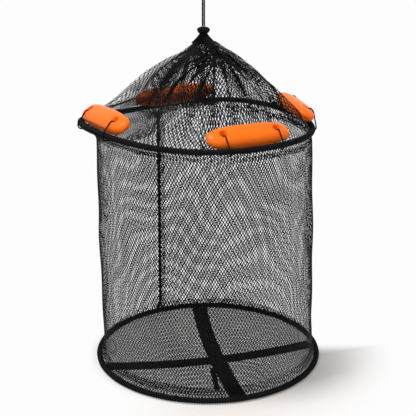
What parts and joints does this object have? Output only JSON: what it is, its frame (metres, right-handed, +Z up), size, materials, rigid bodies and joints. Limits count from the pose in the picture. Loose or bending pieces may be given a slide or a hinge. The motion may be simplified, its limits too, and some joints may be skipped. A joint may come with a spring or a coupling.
{
  "type": "floating keep net",
  "caption": "Collapsible round fishing keep net: a netting tube between bound wire hoops, a drawn-up netting crown on a cord, lashed floats and crossed webbing under the base.",
  "frame": {"origin": "top of the hang loop, where the net is held up; the strap plane under the base is 0.690 m below it", "axes": "+Z up along the taut cord, +Y from the front of the pictured net towards its back, +X to the pictured right"},
  "size_m": [0.4193, 0.4105, 0.69],
  "materials": {
    "netting": "black knotless synthetic netting",
    "binding": "black sewn binding over the hoop, close whipping stitches",
    "strap": "black woven webbing",
    "cord": "black braided cord",
    "float": "smooth glossy orange moulded float",
    "hoop_wire": "drawn spring wire",
    "ferrule": "pressed split ferrule"
  },
  "bodies": {
    "root": {"hang_loop": "cord", "top_knot": "cord", "draw_strand_left": "cord", "draw_strand_right": "cord", "apex_knot": "cord", "mouth_cord": "cord", "mouth_hem": "netting", "crown_netting": "netting"},
    "upper_ring": {"upper_hoop": "hoop_wire", "upper_hoop_sleeve": "ferrule", "upper_binding": "binding", "upper_hem": "netting", "wall_netting": "netting", "wall_seam": "binding"},
    "lower_ring": {"lower_hoop": "hoop_wire", "lower_hoop_sleeve": "ferrule", "lower_binding": "binding", "lower_hem": "netting", "base_netting": "netting", "base_strap_long": "strap", "base_strap_cross": "strap", "strap_tail": "strap"},
    "front_float": {"float_front": "float", "lashing_front_a": "cord", "lashing_front_b": "cord"},
    "right_float": {"float_right": "float", "lashing_right_a": "cord", "lashing_right_b": "cord"},
    "back_float": {"float_back": "float", "lashing_back_a": "cord", "lashing_back_b": "cord"},
    "left_float": {"float_left": "float", "lashing_left_a": "cord", "lashing_left_b": "cord"}
  },
  "joints": [
    {"name": "crown_fold", "type": "slide", "parent": "root", "child": "upper_ring", "axis": [0, 0, 1], "range_m": [0, 0.115], "deforming": ["crown_netting"]},
    {"name": "wall_fold", "type": "slide", "parent": "upper_ring", "child": "lower_ring", "axis": [0, 0, 1], "range_m": [0, 0.36], "deforming": ["wall_netting", "wall_seam"]},
    {"name": "float_front_swing", "type": "hinge", "parent": "upper_ring", "child": "front_float", "pos_m": [0.08003, -0.1597, -0.27107], "axis": [0.8746, 0.4848, -0.0104], "range_deg": [0, 58]},
    {"name": "float_right_swing", "type": "hinge", "parent": "upper_ring", "child": "right_float", "pos_m": [0.17327, 0.0449, -0.27415], "axis": [-0.2079, 0.9779, 0.0237], "range_deg": [0, 58]},
    {"name": "float_back_swing", "type": "hinge", "parent": "upper_ring", "child": "back_float", "pos_m": [-0.05732, 0.18899, -0.27485], "axis": [-0.9669, -0.2411, -0.0833], "range_deg": [0, 58]},
    {"name": "float_left_swing", "type": "hinge", "parent": "upper_ring", "child": "left_float", "pos_m": [-0.17528, -0.0889, -0.25935], "axis": [0.5, -0.866, 0.0048], "range_deg": [0, 58]}
  ]
}
